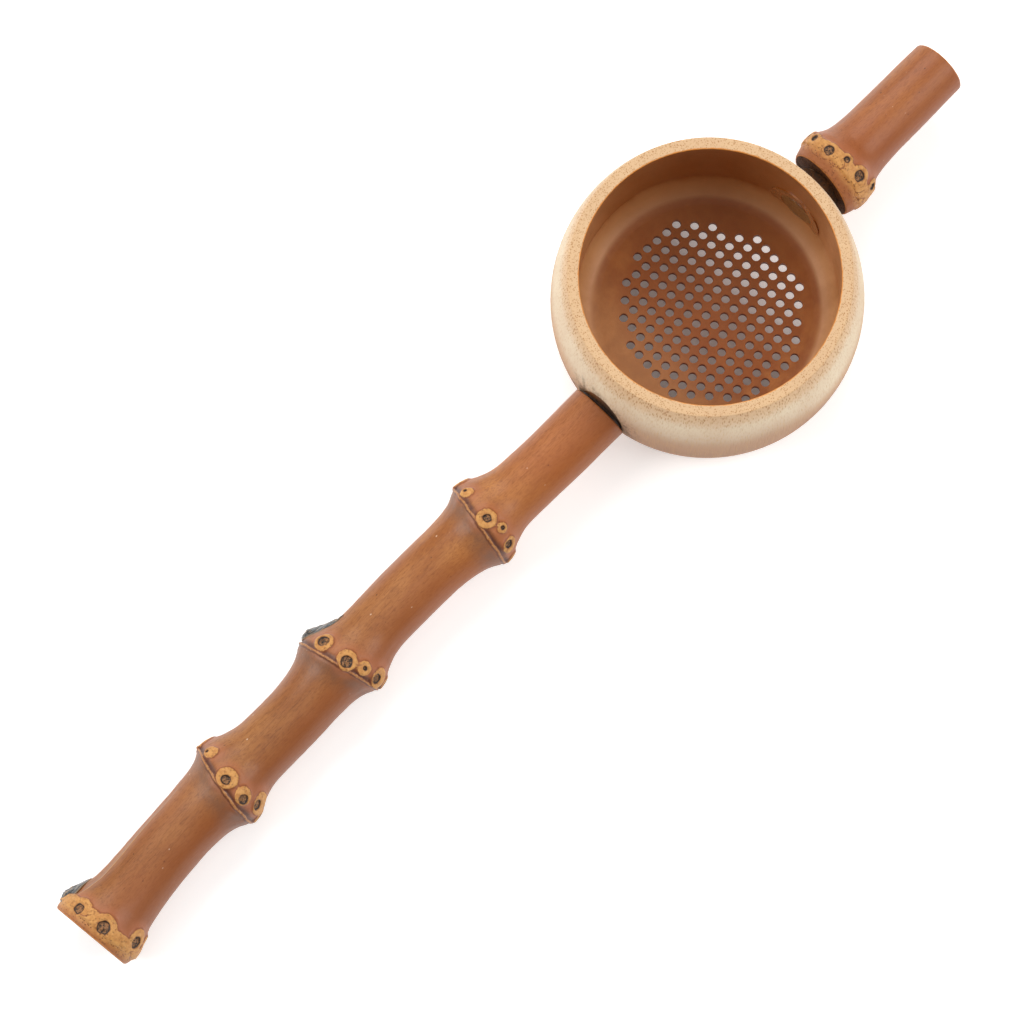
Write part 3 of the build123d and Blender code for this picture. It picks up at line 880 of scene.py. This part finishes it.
class StrainerColours(bpy.types.PropertyGroup):
    """Colours of the strainer's woods and glues."""
    stem_light: hue("Stem, light", "Lighter brown of the rhizome", "b17238")
    stem_dark: hue("Stem, dark", "Deeper brown of the rhizome", "985824")
    stem_rosy: hue("Stem, rosy", "Rosy brown in broad patches", "a7633a")
    # painted shade: the deep orange brown painted on the stem's side away from the light
    stem_shade: hue("Stem, pooled varnish", "Deep orange brown of pooled varnish", "964c12")
    stem_streak: hue("Stem, streaks", "Fine lengthwise streaks", "78401a")
    scar_pale: hue("Scar, pale", "Pale ochre of the root scars", "c8904e")
    scar_deep: hue("Scar, deep", "Deeper ochre of the root scars", "b17539")
    scar_blush: hue("Scar, blush", "Reddish skin round the scars", "a4603a")
    # painted shade in the hollow beside each ridge and the groove beyond it
    hollow_shade: hue("Hollow", "Dark reddish hollow beside each ridge", "522610")
    outline: hue("Scar, outline", "Reddish brown line round a scar", "7a3e1c")
    pit: hue("Pit", "Near black of the root pits", "20140c")
    pit_fibre: hue("Pit fibre", "Brown fibre in the root pits", "9a6a40")
    speck: hue("Speck", "Small pale specks in the varnish", "e6c8a8")
    dust: hue("Dust", "Greyed brown beyond each ridge", "6e4a36")
    ridge: hue("Ridge", "Raised sheath line", "b07a44")
    band: hue("Band", "Red brown band by the sawn ends", "965428")
    edge_line: hue("Edge line", "Bright worn edge", "d98a3a")
    grain_light: hue("End grain, light", "Lighter end grain", "5c3719")
    grain_dark: hue("End grain, dark", "Darker end grain", "38200d")
    husk_dark: hue("Husk, dark", "Near black bud scale", "1c1a1a")
    husk_slate: hue("Husk, slate", "Slate grey bud scale", "4c5255")
    husk_tan: hue("Husk, tan", "Torn tan fibre on the bud scale", "94795a")
    rim: hue("Rim", "Straw of the rim", "d3af86")
    shoulder: hue("Shoulder", "Cream of the shoulder", "dccaae")
    waist: hue("Waist", "Warm straw below the shoulder", "c4a07e")
    # painted shade: the darker tan of the lower side, which faces down
    belly_shade: hue("Belly", "Pinkish tan of the lower side", "a0765a")
    # painted shade: the darker tan painted on the culm's side away from the light
    shaded_culm_side: hue("Toasted", "Toasted side of the culm", "a87e60")
    fibre: hue("Fibre", "Dark fibre bundles of the culm", "a8743e")
    fibre_soft: hue("Soft fibre", "Faint fibre between the bundles", "c49a68")
    bowl_light: hue("Bowl, light", "Lighter varnished wall", "d1996a")
    bowl_dark: hue("Bowl, dark", "Darker varnished wall", "ae7344")
    # deep varnish brown of the bowl, also painted as shade on the wall and floor away from the light
    deep_varnish_and_shade: hue("Bowl, deep", "Deep varnish on one side of the wall", "8a4a10")
    # the paler tide colour is also painted as light on the floor's side that the light reaches
    tide: hue("Tide line", "Paler wall near the floor", "b98a5a")
    floor_light: hue("Floor, light", "Lighter drilled floor", "b87638")
    floor_dark: hue("Floor, dark", "Darker drilled floor", "965420")
    # redder stain on the floor, also painted as shade on the walls of the holes
    floor_stain_and_shade: hue("Floor, stain", "Redder stain among the holes", "944c12")
    dowel_light: hue("Dowel, light", "Lighter dowel end", "8c6638")
    dowel_dark: hue("Dowel, dark", "Darker dowel end", "6c4822")
    # thick glue, also standing in for the shade in the joint's gap
    glue_dark_and_gap_shade: hue("Glue, dark", "Thick glue", "2c1708")
    glue_amber: hue("Glue, amber", "Thin glue", "5a330f")
    # the seat's colours are partly glue stain and partly painted shade in the joint's gap
    seat: hue("Seat", "Stained flat that the handle sits against", "7a4614")
    seat_dark: hue("Seat, dark", "Darkest stain beside the handle", "3a210a")
    table: hue("Table", "Pale floor under the strainer", "f2f1ef")


class StrainerSizes(bpy.types.PropertyGroup):
    """How finely the rhizome is carved."""
    around: IntProperty(name="Steps round", description="Facets round the rhizome", default=224, min=24,
                        max=360)
    seed: IntProperty(name="Seed", description="Random seed of the scars underneath", default=7, min=0)


class StrainerStage(bpy.types.PropertyGroup):
    """Camera and light."""
    aim: FloatVectorProperty(name="Aim", description="Point that the camera looks at", subtype="TRANSLATION",
                             unit="LENGTH", size=3, default=(0.055736, 0.001459, 0.0135))
    distance: FloatProperty(name="Distance", description="Camera to aim point", unit="LENGTH",
                            default=0.859284)
    heading: FloatProperty(name="Heading", description="Side that the camera leans to", subtype="ANGLE",
                           default=math.radians(47.4428))
    tilt: FloatProperty(name="Tilt", description="Camera's lean from straight above", subtype="ANGLE",
                        default=math.radians(10.4345))
    roll: FloatProperty(name="Roll", description="Turn of the picture", subtype="ANGLE",
                        default=math.radians(3.6752))
    lens: FloatProperty(name="Lens", description="Focal length in millimetres", default=158.2)


# ---- operators --------------------------------------------
def look():
    """The colours that the user has set."""
    return bpy.context.scene.strainer_colours


def refinish(node, material):
    """Gives a carried-over node its finish through its object's own material slots."""
    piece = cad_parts[node]
    if not piece.material_slots:
        raise RuntimeError(f"{node} has no material slot")
    for slot in piece.material_slots:
        slot.link = "OBJECT"
        slot.material = material


class STRAINER_OT_cup(bpy.types.Operator):
    """Finish the turned cup and its drilled floor"""
    bl_idname = "strainer.cup"
    bl_label = "Cup"

    def execute(self, context):
        refinish("cup", cup_finish(look()))
        return {"FINISHED"}


class STRAINER_OT_fixings(bpy.types.Operator):
    """Finish the dowels and the glue that hold the handle and the rest"""
    bl_idname = "strainer.fixings"
    bl_label = "Dowels and glue"

    def execute(self, context):
        wood, glue = dowel_finish(look()), glue_finish(look())
        refinish("handle_dowel", wood)
        refinish("rest_dowel", wood)
        # the glue pads fill the joints' gaps dark, partly as glue and partly as painted shade
        refinish("handle_glue", glue)
        refinish("rest_glue", filler_finish(look()))
        refinish("rest_glue_smear", smear_finish(look()))
        return {"FINISHED"}


class STRAINER_OT_handle(bpy.types.Operator):
    """Carve the knuckled rhizome handle"""
    bl_idname = "strainer.handle"
    bl_label = "Handle"

    def execute(self, context):
        sizes = context.scene.strainer_sizes
        bm = turned_blank(HANDLE_START, HANDLE_END, HANDLE_FINE, sizes.around)
        scars = list(END_SCARS)
        for number, (knuckle, row) in enumerate(zip(KNUCKLES, SCARS)):
            scars += row + hidden_scars(sizes.seed + number, *KNUCKLE_HIDDEN, ridge=knuckle)
        scars += hidden_scars(sizes.seed + END_SEED, *END_HIDDEN)
        shape_rhizome(bm, HANDLE_START, HANDLE_END, handle_middle, lambda x: curve(HANDLE_STEM, x),
                      handle_lean, KNUCKLES, scars, END_BAND, GROOVES)
        mark_ends(bm)
        bmesh.ops.recalc_face_normals(bm, faces=bm.faces)
        skin, grain = rhizome_finish(look()), end_grain_finish(look())
        set_piece(bm, "carved_handle", [skin, grain], "handle")
        return {"FINISHED"}


class STRAINER_OT_rest(bpy.types.Operator):
    """Carve the short rhizome rest"""
    bl_idname = "strainer.rest"
    bl_label = "Rest"

    def execute(self, context):
        sizes = context.scene.strainer_sizes
        bm = turned_blank(-REST_START, -REST_END, REST_FINE, sizes.around)
        scars = REST_SCARS + hidden_scars(sizes.seed + REST_SEED, *REST_HIDDEN)
        shape_rhizome(bm, -REST_START, -REST_END, rest_middle, lambda x: curve(REST_STEM, -x - REST_START),
                      rest_lean, [], scars, REST_BAND, [])
        mark_ends(bm)
        bmesh.ops.recalc_face_normals(bm, faces=bm.faces)
        skin, grain = bpy.data.materials["varnished_rhizome"], bpy.data.materials["rhizome_end_grain"]
        set_piece(bm, "carved_rest", [skin, grain], "rest_stub")
        return {"FINISHED"}


class STRAINER_OT_husks(bpy.types.Operator):
    """Press the old bud scales onto two of the handle's knuckles"""
    bl_idname = "strainer.husks"
    bl_label = "Bud husks"

    def execute(self, context):
        material = husk_finish(look())
        bud_scales("bud_husk_middle", material, MIDDLE_HUSK)
        bud_scales("bud_husk_end", material, END_HUSK)
        return {"FINISHED"}


class STRAINER_OT_stage(bpy.types.Operator):
    """Lay the pale floor and set the studio lights and the camera"""
    bl_idname = "strainer.stage"
    bl_label = "Stage"

    def execute(self, context):
        scene = context.scene
        stage = scene.strainer_stage
        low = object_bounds()[0]
        bm = bmesh.new()
        bmesh.ops.create_grid(bm, x_segments=8, y_segments=8, size=TABLE_HALF)
        bmesh.ops.translate(bm, verts=bm.verts, vec=(TABLE_X, 0.0, min(low.z, 0.0)))
        mesh = bpy.data.meshes.new("table")
        bm.to_mesh(mesh)
        bm.free()
        table = bpy.data.objects.new("table", mesh)
        scene.collection.objects.link(table)
        f = Finish("pale_table")
        tint = f.mix(f.noise((8, 8, 8), 2.0), look().table, (0.9, 0.9, 0.9, 1.0))
        x, y = f.axes()[:2]
        reach = f.out(x, y)
        # painted shade: the disc of the table under the cup is painted a greyer pink, as the cup's shadow
        # that shows through the holes
        tint = f.mix(f.step(reach, *TABLE_UNDER_CUP), (0.9, 0.82, 0.77, 1.0), tint)
        # the table glows a little, and under the cup most on the side away from the handle
        under = f.step(x, -0.021, -0.002, 0.55, 0.07)
        glow = f.mix(f.step(reach, *TABLE_UNDER_CUP), under, (0.37, 0.37, 0.37, 1.0))
        f.join((1.0, 1.0, 1.0, 1.0), f.shader.inputs["Emission Color"])
        f.join(glow, f.shader.inputs["Emission Strength"])
        mesh.materials.append(f.done(tint, 0.7, specular=0.1))
        table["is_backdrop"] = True

        world = bpy.data.worlds.new("studio")
        world.use_nodes = True
        background = world.node_tree.nodes["Background"]
        background.inputs["Color"].default_value = (1.0, 1.0, 1.0, 1.0)
        background.inputs["Strength"].default_value = WORLD_LIGHT
        scene.world = world
        centre = Vector(stage.aim)
        for name, place, size, power in LAMPS:
            light = bpy.data.lights.new(name, "AREA")
            light.shape, light.size, light.energy = "DISK", size, power
            lamp = bpy.data.objects.new(name, light)
            lamp.location = centre + Vector(place)
            lamp.rotation_mode = "QUATERNION"
            lamp.rotation_quaternion = (-Vector(place)).to_track_quat("-Z", "Y")
            scene.collection.objects.link(lamp)

        data = bpy.data.cameras.new("camera")
        data.lens, data.sensor_width = stage.lens, SENSOR
        data.clip_start, data.clip_end = CAMERA_RANGE
        camera = bpy.data.objects.new("camera", data)
        lean = math.sin(stage.tilt)
        back = Vector((lean * math.cos(stage.heading), lean * math.sin(stage.heading), math.cos(stage.tilt)))
        camera.location = centre + back * stage.distance
        camera.rotation_mode = "QUATERNION"
        turn = Matrix.Rotation(stage.roll, 3, -back)
        camera.rotation_quaternion = (turn @ (-back).to_track_quat("-Z", "Y").to_matrix()).to_quaternion()
        scene.collection.objects.link(camera)
        scene.camera = camera
        scene.view_settings.view_transform = "Standard"
        return {"FINISHED"}


class STRAINER_PT_panel(bpy.types.Panel):
    """Lists the strainer's pieces in the sidebar"""
    bl_idname = "STRAINER_PT_panel"
    bl_label = "Tea Strainer"
    bl_space_type = "VIEW_3D"
    bl_region_type = "UI"
    bl_category = "Strainer"

    def draw(self, context):
        for operator in OPERATORS:
            self.layout.operator(operator.bl_idname, text=operator.bl_label)


OPERATORS = (STRAINER_OT_cup, STRAINER_OT_fixings, STRAINER_OT_handle, STRAINER_OT_rest, STRAINER_OT_husks,
             STRAINER_OT_stage)
CLASSES = (StrainerColours, StrainerSizes, StrainerStage, *OPERATORS, STRAINER_PT_panel)


def register():
    for item in CLASSES:
        bpy.utils.register_class(item)
    bpy.types.Scene.strainer_colours = PointerProperty(type=StrainerColours)
    bpy.types.Scene.strainer_sizes = PointerProperty(type=StrainerSizes)
    bpy.types.Scene.strainer_stage = PointerProperty(type=StrainerStage)


def unregister():
    del bpy.types.Scene.strainer_stage
    del bpy.types.Scene.strainer_sizes
    del bpy.types.Scene.strainer_colours
    for item in reversed(CLASSES):
        bpy.utils.unregister_class(item)


def main():
    register()
    bpy.ops.strainer.cup()
    bpy.ops.strainer.fixings()
    bpy.ops.strainer.handle()
    bpy.ops.strainer.rest()
    bpy.ops.strainer.husks()
    bpy.ops.strainer.stage()


if __name__ == "__main__":
    main()
